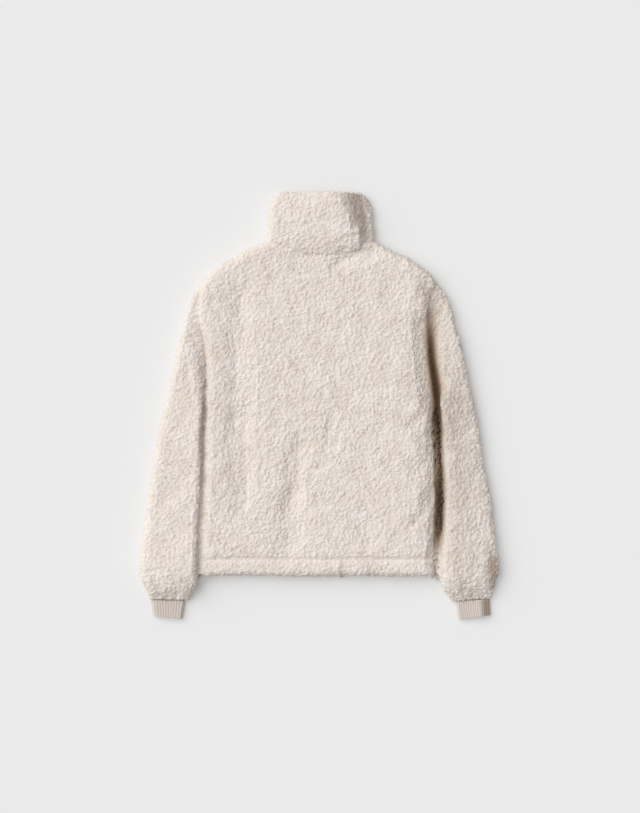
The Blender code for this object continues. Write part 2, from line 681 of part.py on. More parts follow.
def combine(piece, tool, operation):
    change = piece.modifiers.new(tool.name, "BOOLEAN")
    change.operation = operation
    change.solver = "EXACT"
    change.object = tool


def zip_places():
    # The slider stands just under the collar's top edge at the centre front
    slider_top = COLLAR_TOP_Y - COLLAR_FRONT_DROP - 3.0
    slider_foot = slider_top - SLIDER_LENGTH
    axle_y = slider_foot + SLIDER_LENGTH * 0.45
    slider_face = FRONT_WALL - SLIDER_THICK
    axle_z = slider_face - SEAM_GAP - BARREL_RADIUS
    return slider_top, slider_foot, slider_face, axle_y, axle_z


def zip_tapes(top):
    low_z = FRONT_WALL + SEAM_GAP
    for side, sign in (("left", -1), ("right", 1)):
        bm = bmesh.new()
        near, far = sign * (CHAIN_HALF + SEAM_GAP), sign * TAPE_OUTER
        block(bm, (min(near, far), HEM_Y + 2, low_z), (max(near, far), top, low_z + TAPE_THICK))
        new_piece("zip_tape_" + side, bm, ZIP_CLOTH)


def zip_chain(foot, top):
    # Two rows of teeth that have closed into one strip with a notched edge
    bm = bmesh.new()
    high = FRONT_WALL + SEAM_GAP + TAPE_THICK
    block(bm, (-CHAIN_HALF, foot, high - CHAIN_THICK), (CHAIN_HALF, top, high))
    long_edges = [e for e in bm.edges if abs(e.verts[0].co.y - e.verts[1].co.y) > 50]
    lower = [e for e in long_edges if e.verts[0].co.z < high - 1]
    bmesh.ops.bevel(bm, geom=lower, offset=0.8, offset_type="OFFSET", segments=2, profile=0.5,
                    affect="EDGES", clamp_overlap=True, material=-1)
    new_piece("zip_chain", bm, ZIP_METAL, 0.4, 0.8)


def zip_box():
    bm = bmesh.new()
    block(bm, (-4.2, HEM_Y + 3, FRONT_WALL - 4.0), (4.2, HEM_Y + 12, FRONT_WALL))
    soften(bm, 0.7)
    new_piece("zip_box", bm, ZIP_METAL, 0.4, 0.8)


def zip_slider(places):
    top, foot, face, axle_y, axle_z = places
    bm = bmesh.new()
    made = block(bm, (-SLIDER_HALF, foot, face), (SLIDER_HALF, top, FRONT_WALL))
    for vert in made:
        if vert.co.y < foot + 1:
            vert.co.x *= 0.72
    soften(bm, 0.8)
    slider = new_piece("zip_slider", bm, ZIP_METAL, 0.35, 0.9)
    for side, sign in (("left", -1), ("right", 1)):
        bm = bmesh.new()
        near = BARREL_HALF + SEAM_GAP
        low_x, high_x = sorted((sign * near, sign * (near + LUG_THICK)))
        block(bm, (low_x, axle_y - 2.2, axle_z - 1.5), (high_x, axle_y + 2.2, face + 0.6))
        combine(slider, hidden_cutter("lug_" + side, bm), "UNION")
    bm = bmesh.new()
    bar_across(bm, AXLE_RADIUS, BARREL_HALF + SEAM_GAP + LUG_THICK / 2, axle_y, axle_z)
    combine(slider, hidden_cutter("axle", bm), "UNION")


def zip_pull(places):
    # A flat tab with a barrel round the slider's axle; its own origin is on that axle
    _, _, _, axle_y, axle_z = places
    axle = bpy.data.objects.new("zip_pull_axle", None)
    axle.location = (0, axle_y * MM, axle_z * MM)
    parts.objects.link(axle)
    bm = bmesh.new()
    made = block(bm, (-PULL_HALF, -PULL_LENGTH, -PULL_THICK / 2),
                 (PULL_HALF, -4.0, PULL_THICK / 2))
    for vert in made:
        if vert.co.y > -5:
            vert.co.x *= 0.62
    soften(bm, 0.5)
    pull = new_piece("zip_pull", bm, ZIP_METAL, 0.35, 0.9)
    pull.parent = axle
    bm = bmesh.new()
    block(bm, (-1.6, -5.0, -PULL_THICK / 2), (1.6, -1.4, PULL_THICK / 2))
    bar_bm = bmesh.new()
    bar_across(bar_bm, BARREL_RADIUS, BARREL_HALF, 0, 0, 20)
    bore_bm = bmesh.new()
    bar_across(bore_bm, BARREL_BORE, BARREL_HALF + 1, 0, 0, 20)
    for name, shape, operation in (("pull_neck", bm, "UNION"), ("pull_barrel", bar_bm, "UNION"),
                                   ("pull_bore", bore_bm, "DIFFERENCE")):
        tool = hidden_cutter(name, shape)
        tool.parent = axle
        combine(pull, tool, operation)


for old in list(bpy.data.objects):
    bpy.data.objects.remove(old)
parts = bpy.data.collections.new("fleece jacket")
cutters = bpy.data.collections.new("cutters")
for group in (parts, cutters):
    bpy.context.scene.collection.children.link(group)

back_panel()
front_panel("left")
front_panel("right")
sleeve("left", SLEEVE_LEFT)
sleeve("right", SLEEVE_RIGHT)
collar()
cuff("cuff_left")
cuff("cuff_right")
zip_parts = zip_places()
zip_tapes(zip_parts[0])
zip_chain(HEM_Y + 12 + SEAM_GAP, zip_parts[1] - SEAM_GAP)
zip_box()
zip_slider(zip_parts)
zip_pull(zip_parts)
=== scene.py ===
# Curly fleece jacket laid face down on a pale surface, seen from above.
import math

import bmesh
import bpy
import numpy as np
from mathutils import Matrix, Vector
from mathutils.bvhtree import BVHTree


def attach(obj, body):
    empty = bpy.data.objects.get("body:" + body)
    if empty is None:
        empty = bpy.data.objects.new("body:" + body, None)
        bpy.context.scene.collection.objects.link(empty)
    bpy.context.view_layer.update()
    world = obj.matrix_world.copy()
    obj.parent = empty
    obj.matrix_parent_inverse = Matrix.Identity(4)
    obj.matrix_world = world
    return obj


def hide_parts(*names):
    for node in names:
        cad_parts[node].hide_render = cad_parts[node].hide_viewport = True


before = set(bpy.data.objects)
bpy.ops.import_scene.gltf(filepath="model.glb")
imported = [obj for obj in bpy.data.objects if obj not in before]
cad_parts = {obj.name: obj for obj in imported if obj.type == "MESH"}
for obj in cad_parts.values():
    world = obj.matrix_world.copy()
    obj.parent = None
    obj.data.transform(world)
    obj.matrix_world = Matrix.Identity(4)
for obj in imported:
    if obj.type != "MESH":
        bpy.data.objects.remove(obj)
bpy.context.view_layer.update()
mm = 0.001
jacketBody = "jacket"
clothNodes = ["back_panel", "front_left", "front_right", "sleeve_left", "sleeve_right", "collar"]


# Materials
class Value:  # a number socket that takes Python's operators
    def __init__(self, finish, socket):
        self.finish, self.socket = finish, socket

    def combine(self, operation, first, second):
        made = self.finish.node("ShaderNodeMath", {"operation": operation},
                                {0: first, 1: second})
        return Value(self.finish, made.outputs[0])

    def __add__(self, other):
        return self.combine("ADD", self, other)

    def __sub__(self, other):
        return self.combine("SUBTRACT", self, other)

    def __rsub__(self, other):
        return self.combine("SUBTRACT", other, self)

    def __mul__(self, other):
        return self.combine("MULTIPLY", self, other)

    __radd__, __rmul__ = __add__, __mul__


class Finish:  # one material and the way its nodes are made
    def __init__(self, name):
        self.material = bpy.data.materials.new(name)
        self.material.use_nodes = True
        self.tree = self.material.node_tree
        self.shader = self.tree.nodes["Principled BSDF"]

    def node(self, kind, settings=None, values=None):
        made = self.tree.nodes.new(kind)
        for key, setting in (settings or {}).items():
            if key == "stops":
                ramp = made.color_ramp
                while len(ramp.elements) < len(setting):
                    ramp.elements.new(0.5)
                for element, (place, colour) in zip(ramp.elements, setting):
                    element.position, element.color = place, colour
            else:
                setattr(made, key, setting)
        for key, value in (values or {}).items():
            self.put(made.inputs[key], value)
        return made

    def put(self, socket, value):
        if isinstance(value, Value):
            value = value.socket
        if isinstance(value, bpy.types.NodeSocket):
            self.tree.links.new(value, socket)
        else:
            socket.default_value = value

    def number(self, socket):
        return Value(self, socket)

    def attribute(self, name):
        made = self.node("ShaderNodeAttribute",
                         {"attribute_type": "GEOMETRY", "attribute_name": name})
        return self.number(made.outputs["Fac"])

    def objectPlace(self, scale=(1, 1, 1)):
        place = self.node("ShaderNodeTexCoord").outputs["Object"]
        return self.node("ShaderNodeMapping", None, {"Vector": place, "Scale": scale}).outputs[0]

    def acrossAlong(self):  # an object's own x and y
        place = self.node("ShaderNodeSeparateXYZ", None, {0: self.objectPlace()})
        return [self.number(place.outputs[k]) for k in (0, 1)]

    def noise(self, vector, scale, detail, roughness=0.5):
        values = {"Vector": vector, "Scale": scale, "Detail": detail, "Roughness": roughness}
        return self.number(self.node("ShaderNodeTexNoise", None, values).outputs["Fac"])

    def wave(self, place, length):  # from 0 to 1 and back over each length
        angle = place * (2 * math.pi / length)
        made = self.node("ShaderNodeMath", {"operation": "SINE"}, {0: angle})
        return self.number(made.outputs[0]) * 0.5 + 0.5

    def ramp(self, factor, stops):
        return self.node("ShaderNodeValToRGB", {"stops": stops}, {"Fac": factor}).outputs["Color"]

    def tinted(self, share, colour, tint):  # 6 and 7 are the colour sockets of a mix
        made = self.node("ShaderNodeMix", {"data_type": "RGBA", "blend_type": "MULTIPLY"},
                         {0: share, 6: colour, 7: tint})
        return made.outputs[2]

    def bump(self, height, distance, strength):
        values = {"Height": height, "Distance": distance, "Strength": strength}
        made = self.node("ShaderNodeBump", None, values)
        self.put(self.shader.inputs["Normal"], made.outputs[0])

    def surface(self, **values):
        for name, value in values.items():
            self.put(self.shader.inputs[name.replace("_", " ")], value)


def srgb(red, green, blue):  # 0 to 255 as picked on a screen
    def linear(c):
        c = c / 255
        return c / 12.92 if c <= 0.04045 else ((c + 0.055) / 1.055) ** 2.4
    return (linear(red), linear(green), linear(blue), 1.0)


white = (1, 1, 1, 1)
pileLook = {
    "tip": srgb(236, 228, 221), "side": srgb(228, 219, 210), "rootShade": srgb(203, 189, 175),
    "warm": srgb(244, 236, 229), "warmShare": 0.3,
    "patch": srgb(240, 232, 222), "patchShare": 0.35, "patchScale": 26.0,
    # painted shade in creases, between pieces and on folds, from none to a deep warm brown
    "creased": [(0.0, white), (0.3, srgb(216, 209, 203)), (0.62, srgb(156, 138, 122)),
                (0.82, srgb(112, 93, 75)), (1.0, srgb(76, 58, 44))],
    "fibreScale": 800.0, "fibreHeight": 0.6 * mm, "roughness": 0.92, "sheen": 0.25,
}


def paintedShadeColour(finish, colour):  # painted shade: warm and dark where the pile lies deep between two pieces and on shaded folds
    tint = finish.ramp(finish.attribute("creased"), pileLook["creased"])
    return finish.tinted(1.0, colour, tint)


def pileFinish():
    finish = Finish("curlyPile")
    place = finish.objectPlace()
    # darker towards the tufts' roots, low in the pile: painted shade
    colour = finish.ramp(finish.attribute("reach"), [(0.0, pileLook["rootShade"]),
                                                     (0.45, pileLook["side"]),
                                                     (1.0, pileLook["tip"])])
    warmth = finish.ramp(finish.attribute("tone"), [(0.0, pileLook["warm"]), (0.5, white)])
    colour = finish.tinted(pileLook["warmShare"], colour, warmth)
    patch = finish.noise(place, pileLook["patchScale"], 3.0)
    patches = finish.ramp(patch, [(0.3, pileLook["patch"]), (0.7, white)])
    colour = finish.tinted(pileLook["patchShare"], colour, patches)
    finish.bump(finish.noise(place, pileLook["fibreScale"], 3.0, 0.65),
                pileLook["fibreHeight"], 0.5)
    finish.surface(Base_Color=paintedShadeColour(finish, colour), Roughness=pileLook["roughness"],
                   Sheen_Weight=pileLook["sheen"], Sheen_Roughness=0.5,
                   Specular_IOR_Level=0.15)
    return finish.material


groundLook = {"light": srgb(244, 236, 226), "dark": srgb(236, 226, 214),
              "grainScale": 240.0, "grainHeight": 2.0 * mm}


def groundFinish():
    finish = Finish("pileGround")
    grain = finish.noise(finish.objectPlace(), groundLook["grainScale"], 4.0, 0.65)
    colour = finish.ramp(grain, [(0.3, groundLook["dark"]), (0.7, groundLook["light"])])
    finish.bump(grain, groundLook["grainHeight"], 0.8)
    finish.surface(Base_Color=paintedShadeColour(finish, colour), Roughness=0.95,
                   Sheen_Weight=0.2, Specular_IOR_Level=0.1)
    return finish.material


ribLook = {"ridge": srgb(221, 211, 202), "hollowShade": srgb(198, 187, 176), "stitch": 1.9 * mm,
           "row": 0.72, "slant": 0.45, "fluffScale": 900.0, "height": 0.4 * mm}


def ribFinish():
    finish = Finish("ribKnit")
    across, along = finish.acrossAlong()
    stitch = ribLook["stitch"]
    legs = finish.wave(across, stitch)
    rows = along + legs * (stitch * ribLook["slant"])  # each stitch is a small V
    loops = finish.wave(rows, stitch * ribLook["row"])
    fluff = finish.noise(finish.objectPlace(), ribLook["fluffScale"], 3.0, 0.6)
    # darker in the knit's hollows between loops: painted shade; the fluff noise adds random tone
    colour = finish.ramp(loops * 0.6 + fluff * 0.4, [(0.2, ribLook["hollowShade"]),
                                                     (0.75, ribLook["ridge"])])
    finish.bump(loops + fluff * 0.7, ribLook["height"], 0.6)
    finish.surface(Base_Color=paintedShadeColour(finish, colour), Roughness=0.88, Sheen_Weight=0.15,
                   Specular_IOR_Level=0.2)
    return finish.material


tapeLook = {"light": srgb(226, 214, 198), "dark": srgb(198, 184, 166),
            "thread": 0.55 * mm, "height": 0.2 * mm}


def tapeFinish():
    finish = Finish("zipTape")
    across, along = finish.acrossAlong()
    twill = finish.wave(across + along, tapeLook["thread"] * 2)
    weave = twill * 0.6 + finish.wave(across, tapeLook["thread"]) * 0.4
    colour = finish.ramp(weave, [(0.2, tapeLook["dark"]), (0.8, tapeLook["light"])])
    finish.bump(weave, tapeLook["height"], 0.6)
    finish.surface(Base_Color=colour, Roughness=0.8, Sheen_Weight=0.1)
    return finish.material


teethLook = {"light": srgb(214, 201, 183), "dark": srgb(204, 190, 170),
             "grainScale": 1400.0, "grainHeight": 0.05 * mm}


def mouldedFinish():
    finish = Finish("zipTeeth")
    grain = finish.noise(finish.objectPlace(), teethLook["grainScale"], 2.0)
    colour = finish.ramp(grain, [(0.3, teethLook["dark"]), (0.7, teethLook["light"])])
    finish.bump(grain, teethLook["grainHeight"], 0.3)
    finish.surface(Base_Color=colour, Roughness=grain * 0.15 + 0.35, Specular_IOR_Level=0.5)
    return finish.material


threadLook = {"light": srgb(244, 234, 222), "dark": srgb(222, 208, 192),
              "ply": 0.9 * mm, "height": 0.1 * mm}


def threadFinish():
    finish = Finish("sewingThread")
    across, along = finish.acrossAlong()
    ply = finish.wave(across + along, threadLook["ply"])
    colour = finish.ramp(ply, [(0.1, threadLook["dark"]), (0.9, threadLook["light"])])
    finish.bump(ply, threadLook["height"], 0.6)
    finish.surface(Base_Color=colour, Roughness=0.7, Sheen_Weight=0.1)
    return finish.material


metalLook = {"colour": srgb(190, 182, 168), "scratches": (900, 120, 900)}


def metalFinish():
    finish = Finish("zipMetal")
    scratch = finish.noise(finish.objectPlace(metalLook["scratches"]), 3.0, 3.0)
    finish.surface(Base_Color=metalLook["colour"], Metallic=1.0,
                   Roughness=scratch * 0.15 + 0.28)
    return finish.material


# Finding which faces of a solid show
def mergedCopy(node):
    bm = bmesh.new()
    bm.from_mesh(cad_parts[node].data)
    bmesh.ops.remove_doubles(bm, verts=bm.verts[:], dist=0.002 * mm)
    bm.normal_update()
    return bm


def neighbourTree(left):
    points, faces = [], []
    for node in clothNodes + ["cuff_left", "cuff_right"]:
        if node == left:
            continue
        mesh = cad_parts[node].data
        first = len(points)
        points += [v.co.copy() for v in mesh.vertices]
        faces += [[first + k for k in p.vertices] for p in mesh.polygons]
    return BVHTree.FromPolygons(points, faces)


faceSettings = {
    "slot": 5.5 * mm,  # the two sides of a slot lie nearer than this
    "seam": 2.5 * mm,  # and two sewn or stacked pieces nearer than this
    "lift": 0.05 * mm,  # rays start this far off a face
    "floorTop": 1.0 * mm, "floorFacing": -0.7,  # the faces that lie on the floor
}


def sortFaces(bm, node):
    own, others = BVHTree.FromBMesh(bm), neighbourTree(node)
    openFaces, floorFaces = [], []
    for face in bm.faces:
        centre, normal = face.calc_center_median(), face.normal
        if normal.z < faceSettings["floorFacing"] and centre.z < faceSettings["floorTop"]:
            floorFaces.append(face)
            continue
        start = centre + normal * faceSettings["lift"]
        if own.ray_cast(start, normal, faceSettings["slot"])[0] is None:
            if others.ray_cast(start, normal, faceSettings["seam"])[0] is None:
                openFaces.append(face)
    return openFaces, floorFaces


def objectFrom(bm, name, material=None, smooth=True):
    mesh = bpy.data.meshes.new(name)
    bm.to_mesh(mesh)
    bm.free()
    if smooth:
        mesh.shade_smooth()
    if material:
        mesh.materials.append(material)
    piece = bpy.data.objects.new(name, mesh)
    bpy.context.scene.collection.objects.link(piece)
    return piece


# Ground cloth: each solid's form, drawn in by the depth of its pile
groundSettings = {"depth": 4.0 * mm, "floorDepth": 4.0 * mm}


def markedSolid(node):  # a solid whose faces are marked 1 where they show and 2 on the floor
    bm = mergedCopy(node)
    layer = bm.faces.layers.int.new("kind")  # made first, because a new layer drops found faces
    openFaces, floorFaces = sortFaces(bm, node)
    for kind, faces in ((1, openFaces), (2, floorFaces)):
        for face in faces:
            face[layer] = kind
    return bm


def groundCloth(solid, name, material):
    bm = solid.copy()
    layer = bm.faces.layers.int["kind"]
    bm.normal_update()
    moves = {}
    for vert in bm.verts:
        direction = Vector()
        for face in vert.link_faces:
            if face[layer] == 1:
                direction += face.normal * face.calc_area()
        inward = direction.normalized() * groundSettings["depth"]
        if any(face[layer] == 2 for face in vert.link_faces):
            inward.z = -groundSettings["floorDepth"]
        moves[vert] = inward
    for vert, inward in moves.items():
        vert.co -= inward
    places = np.array([vert.co for vert in bm.verts])
    ground = objectFrom(bm, name, material)
    markPaintedShade(ground.data, places)
    return ground


# Creases and folds with painted shade, each from its upper end down. A row has x, y and half
# breadth in mm, the darkness of its painted shade, and the share that the pile is cut by. The
# painted shade darkens from the height top down.
creasesAndPaintedShade = {
    # the right and left rows paint shade into the crevices between the body and the sleeves
    "right": {"top": 35, "rows": [
        (204.0, 232.0, 10.0, 0.0, 0.0), (206.0, 214.0, 13.0, 0.24, 0.0),
        (207.0, 190.0, 12.0, 0.22, 0.1), (204.5, 158.8, 10.5, 0.5, 0.3),
        (206.0, 121.8, 10.0, 0.82, 0.4), (208.5, 84.8, 10.0, 0.95, 0.5),
        (214.0, 47.8, 10.5, 1.0, 0.6), (219.0, 10.8, 12.5, 0.95, 0.6),
        (219.0, -26.2, 12.0, 0.95, 0.6), (220.0, -63.2, 10.0, 0.8, 0.6),
        (221.5, -100.2, 9.5, 0.7, 0.6), (223.0, -137.2, 10.0, 0.8, 0.6),
        (223.0, -174.0, 10.0, 0.95, 0.6), (222.2, -211.2, 10.0, 0.85, 0.6),
        (220.0, -240.0, 9.0, 0.7, 0.55), (219.0, -264.0, 9.0, 0.25, 0.0),
        (217.5, -280.0, 9.0, 0.06, -0.6), (217.5, -312.0, 9.0, 0.0, -0.7),
        (217.5, -340.0, 8.0, 0.0, -0.7),
    ]},
    "left": {"top": 48, "rows": [
        (-214.0, 160.0, 9.0, 0.0, 0.0), (-212.0, 110.0, 9.0, 0.1, 0.0),
        (-211.0, 48.0, 9.0, 0.18, 0.0), (-213.0, -8.0, 9.0, 0.22, 0.0),
        (-215.0, -63.0, 8.0, 0.2, 0.0), (-216.5, -193.0, 8.0, 0.08, 0.0),
        (-220.0, -267.0, 8.0, 0.08, 0.0), (-222.0, -300.0, 8.0, 0.05, 0.0),
        (-222.0, -330.0, 8.0, 0.0, 0.0),
    ]},
    # painted shade on the right sleeve's side that slopes away from the light, and in the fold at
    # its end
    "rightSleeve": {"top": 60, "rows": [
        (222.0, 235.0, 14.0, 0.0, 0.0), (224.0, 190.0, 22.0, 0.08, 0.0),
        (228.0, 121.0, 24.0, 0.08, 0.0), (240.0, 10.0, 26.0, 0.14, 0.0),
        (246.0, -100.0, 28.0, 0.12, 0.0), (246.0, -267.0, 30.0, 0.11, 0.0),
        (240.0, -330.0, 24.0, 0.0, 0.0),
    ]},
    "sleeveEnd": {"top": 60, "rows": [
        (320.0, -262.0, 7.0, 0.0, 0.0), (322.5, -286.0, 9.5, 0.4, 0.0),
        (324.0, -312.0, 10.0, 0.45, 0.0), (321.0, -334.0, 8.0, 0.25, 0.0),
        (320.0, -345.0, 6.0, 0.0, 0.0),
    ]},
    # painted shade on the collar's facet turned from the light
    "collarFacet": {"top": 70, "rows": [
        (66.0, 392.0, 18.0, 0.32, 0.0), (68.0, 372.0, 19.0, 0.28, 0.0),
        (76.0, 340.0, 15.0, 0.24, 0.0), (86.0, 312.0, 10.0, 0.12, 0.0),
        (94.0, 294.0, 10.0, 0.0, 0.0),
    ]},
    # painted shade along the hem's two creases and on the right cuff's side folded under
    "hemFirst": {"top": 60, "rows": [
        (42.5, -280.0, 3.0, 0.0, 0.0), (42.8, -292.0, 3.2, 0.2, 0.35),
        (42.0, -318.0, 3.5, 0.26, 0.35),
    ]},
    "hemSecond": {"top": 60, "rows": [
        (91.0, -286.0, 3.0, 0.0, 0.0), (92.0, -296.0, 3.0, 0.16, 0.3),
        (92.5, -318.0, 3.0, 0.2, 0.3),
    ]},
    "rightCuff": {"top": 60, "rows": [
        (309.0, -354.0, 6.5, 0.0, 0.0), (309.5, -362.0, 7.0, 0.42, 0.0),
        (311.5, -396.0, 7.5, 0.42, 0.0),
    ]},
}
creaseSettings = {
    "fall": 13 * mm, "least": 0.1,  # how far below its top a crease's painted shade is at its darkest
    "clear": 3.5 * mm, "clearFade": 2.5 * mm,  # the underside gets no painted shade
    "cutFrom": 13 * mm, "cutTo": 33 * mm, "cutFade": 5 * mm,  # heights where the pile is cut
    "cutLower": 2.0,  # below them it is longer instead, and hides the floor
}


def paintedShadeAndCut(places):  # how much painted shade each place gets in creases and folds, and how much shorter its pile is
    dark, cut = np.zeros(len(places)), np.zeros(len(places))
    x, y, z = places.T
    for crease in creasesAndPaintedShade.values():
        table = np.array(crease["rows"])[::-1] * (mm, mm, mm, 1, 1)
        within = (y > table[0, 1]) & (y < table[-1, 1])
        line, half, shadeDarkness, shorter = [np.interp(y, table[:, 1], table[:, column])
                                         for column in (0, 2, 3, 4)]
        near = np.exp(-((x - line) / half) ** 2) * within
        fall = (crease["top"] * mm - z) / creaseSettings["fall"]
        above = (z - creaseSettings["clear"]) / creaseSettings["clearFade"]
        # painted shade near each crease line, darkest a little below its top and none on the
        # underside
        dark += (shadeDarkness * near * np.clip(fall, creaseSettings["least"], 1)
                 * np.clip(above, 0, 1))
        inside = np.clip((z - creaseSettings["cutFrom"]) / creaseSettings["cutFade"], 0, 1)
        below = np.clip((creaseSettings["cutTo"] - z) / creaseSettings["cutFade"], 0, 1)
        longer = abs(shorter) * (1 - inside) * creaseSettings["cutLower"]
        cut += near * (shorter * inside * below - longer)
    return dark, cut


class Recipe:  # a Geometry Nodes tree with one geometry in and one out
    def __init__(self, name):
        self.tree = bpy.data.node_groups.new(name, "GeometryNodeTree")
        for way in ("INPUT", "OUTPUT"):
            self.tree.interface.new_socket("Geometry", in_out=way,
                                           socket_type="NodeSocketGeometry")
        self.start = self.add("NodeGroupInput").outputs[0]
        self.place = self.add("GeometryNodeInputPosition").outputs[0]

    def add(self, kind, settings=None, values=None):
        made = self.tree.nodes.new(kind)
        for key, value in (settings or {}).items():
            setattr(made, key, value)
        for key, value in (values or {}).items():
            if isinstance(value, bpy.types.NodeSocket):
                self.tree.links.new(value, made.inputs[key])
            else:
                made.inputs[key].default_value = value
        return made

    def maths(self, operation, first, second=0.0):
        return self.add("ShaderNodeMath", {"operation": operation},
                        {0: first, 1: second}).outputs[0]

    def spread(self, value, low, high, least, most):  # value's range low to high, least to most
        return self.add("ShaderNodeMapRange", None,
                        {"Value": value, "From Min": low, "From Max": high,
                         "To Min": least, "To Max": most}).outputs[0]

    def noise(self, scale, detail, distortion=0.0):  # its number is output 0
        return self.add("ShaderNodeTexNoise", {"noise_dimensions": "3D"},
                        {"Vector": self.place, "Scale": scale, "Detail": detail,
                         "Distortion": distortion}).outputs

    def named(self, name):
        return self.add("GeometryNodeInputNamedAttribute", {"data_type": "FLOAT"},
                        {"Name": name}).outputs["Attribute"]

    def store(self, geometry, name, value, kind="FLOAT"):
        return self.add("GeometryNodeStoreNamedAttribute",
                        {"data_type": kind, "domain": "POINT"},
                        {"Geometry": geometry, "Name": name, "Value": value}).outputs[0]

    def along(self, direction, amount):
        return self.add("ShaderNodeVectorMath", {"operation": "SCALE"},
                        {0: direction, "Scale": amount}).outputs[0]

    def shift(self, geometry, offset):
        return self.add("GeometryNodeSetPosition", None,
                        {"Geometry": geometry, "Offset": offset}).outputs[0]

    def close(self, geometry):
        self.add("NodeGroupOutput", None, {0: geometry})
        return self.tree


# Slots over which two piles meet, from the top down: place, half breadth and height, all in mm
packings = [
    [(-209.5, 22.0, 5.0, 19.0), (-211.0, -8.0, 5.0, 19.0), (-212.0, -63.0, 5.0, 19.0),
     (-214.0, -130.0, 5.0, 20.0), (-216.0, -193.0, 5.0, 22.0), (-219.0, -267.0, 5.0, 23.0),
     (-221.0, -311.0, 5.0, 22.0)],
    [(205.0, 205.0, 5.0, 13.0), (204.0, 159.0, 5.0, 12.0), (206.0, 122.0, 5.0, 11.0),
     (208.0, 85.0, 5.0, 10.0), (212.0, 48.0, 5.0, 9.0), (218.0, 10.0, 5.0, 7.0),
     (222.5, -26.0, 5.0, 6.0), (225.5, -100.0, 5.0, 6.0), (228.0, -174.0, 5.0, 6.0),
     (227.0, -211.0, 5.0, 6.0), (223.0, -267.0, 5.0, 9.0), (222.0, -311.0, 5.0, 11.0)],
]
packingThick = 4 * mm
facesUp = 0.5  # how far up or back down the jacket a strip's face looks where it carries tufts


def packSlot(bm, rows, kind, cloth):  # a hidden strip that carries the tufts over a slot
    rows = rows[::-1]
    made = bmesh.ops.create_grid(bm, x_segments=1, y_segments=len(rows) - 1, size=1.0)["verts"]
    made.sort(key=lambda vert: (round(vert.co.y, 4), vert.co.x))
    for number, (x, y, half, top) in enumerate(rows):
        for side, vert in zip((-1, 1), made[number * 2:number * 2 + 2]):
            vert.co = ((x + side * half) * mm, y * mm, top * mm + groundSettings["depth"])
    strip = list({face for vert in made for face in vert.link_faces})
    grown = bmesh.ops.extrude_face_region(bm, geom=strip)["geom"]
    lower = [g for g in grown if isinstance(g, bmesh.types.BMVert)]
    bmesh.ops.translate(bm, vec=(0, 0, -packingThick), verts=lower)
    faces = list({face for vert in made + lower for face in vert.link_faces})
    bmesh.ops.recalc_face_normals(bm, faces=faces)
    for face in faces:
        face[kind] = 1 if face.normal.z > facesUp or face.normal.y < -facesUp else 0
        face[cloth] = 0


tuftSettings = {
    "voxel": 1.6 * mm, "base": -0.6 * mm, "soft": 0.35, "toneScale": 90.0,
    "cells": 115.0, "cellEdge": (-0.1, 0.35), "domes": 2.2 * mm,
    "bend": 3.0 * mm, "bendScale": 90.0,
    "swirls": 150.0, "swirlBend": 2.0, "swirlHeight": 2.2 * mm,
    "locks": 105.0, "lockBend": 1.6, "lockWidth": 0.13, "lockHeight": 1.7 * mm,
    "clumps": 48.0, "clumpHeight": 2.2 * mm,
}
noiseLow, noiseHigh = 0.3, 0.7  # nearly all of a noise lies between these


def raiseTufts(name):  # lifts an even mesh into small domes, swirls, winding locks and clumps
    recipe, tuft = Recipe(name), tuftSettings
    normal = recipe.add("GeometryNodeInputNormal").outputs[0]
    sway = recipe.along(recipe.noise(tuft["bendScale"], 1.0)["Color"], tuft["bend"] * 2)
    swayed = recipe.add("ShaderNodeVectorMath", {"operation": "ADD"},
                        {0: recipe.place, 1: sway}).outputs[0]
    cells = recipe.add("ShaderNodeTexVoronoi", {"feature": "DISTANCE_TO_EDGE"},
                       {"Vector": swayed, "Scale": tuft["cells"]}).outputs["Distance"]
    dome = recipe.add("ShaderNodeMapRange", {"interpolation_type": "SMOOTHSTEP"},
                      {"Value": cells, "From Min": tuft["cellEdge"][0],
                       "From Max": tuft["cellEdge"][1],
                       "To Min": 0.0, "To Max": tuft["domes"]}).outputs[0]
    swirls = recipe.noise(tuft["swirls"], 2.0, tuft["swirlBend"])[0]
    swirl = recipe.spread(swirls, noiseLow, noiseHigh, 0.0, tuft["swirlHeight"])
    winding = recipe.noise(tuft["locks"], 0.0, tuft["lockBend"])[0]  # locks run along its middle
    beside = recipe.maths("ABSOLUTE", recipe.maths("SUBTRACT", winding, 0.5))
    lock = recipe.spread(beside, 0.0, tuft["lockWidth"], tuft["lockHeight"], 0.0)
    clumps = recipe.noise(tuft["clumps"], 2.0)[0]
    clump = recipe.spread(clumps, noiseLow, noiseHigh, 0.0, tuft["clumpHeight"])
    height = recipe.maths("ADD", recipe.maths("ADD", dome, swirl),
                          recipe.maths("ADD", recipe.maths("ADD", lock, clump), tuft["base"]))
    marked = recipe.store(recipe.start, "lay", normal, "FLOAT_VECTOR")
    # reach: how high each tuft stands, which the pile's painted root shade reads
    reach = recipe.spread(height, 0.0, tuft["domes"] + tuft["swirlHeight"], 0.0, 1.0)
    marked = recipe.store(marked, "reach", reach)
    marked = recipe.store(marked, "tone", recipe.noise(tuft["toneScale"], 2.0)[0])
    height = recipe.maths("MULTIPLY", height, recipe.named("pileLength"))
    height = recipe.maths("SUBTRACT", height, groundSettings["depth"])
    return recipe.close(recipe.shift(marked, recipe.along(normal, height)))


floorClear = 0.4 * mm  # pressed tufts stay this far off the floor
stitchLine = {
    "y": -283.4 * mm, "breadth": 4.0 * mm, "short": 0.5, "ends": (-211 * mm, 203 * mm),
    "backFrom": 15 * mm, "backHalf": 212 * mm,  # only the back's own pile is pulled in
}


def pileLengths(places):
    x, y, z = places.T
    hem = np.exp(-((y - stitchLine["y"]) / stitchLine["breadth"]) ** 2)
    onBack = (z > stitchLine["backFrom"]) & (abs(x) < stitchLine["backHalf"])
    return 1 - stitchLine["short"] * hem * onBack - paintedShadeAndCut(places)[1]


shadeFrom, shadeOver = -0.1, 0.8  # a tuft's sides turned further from the cloth aren't softened


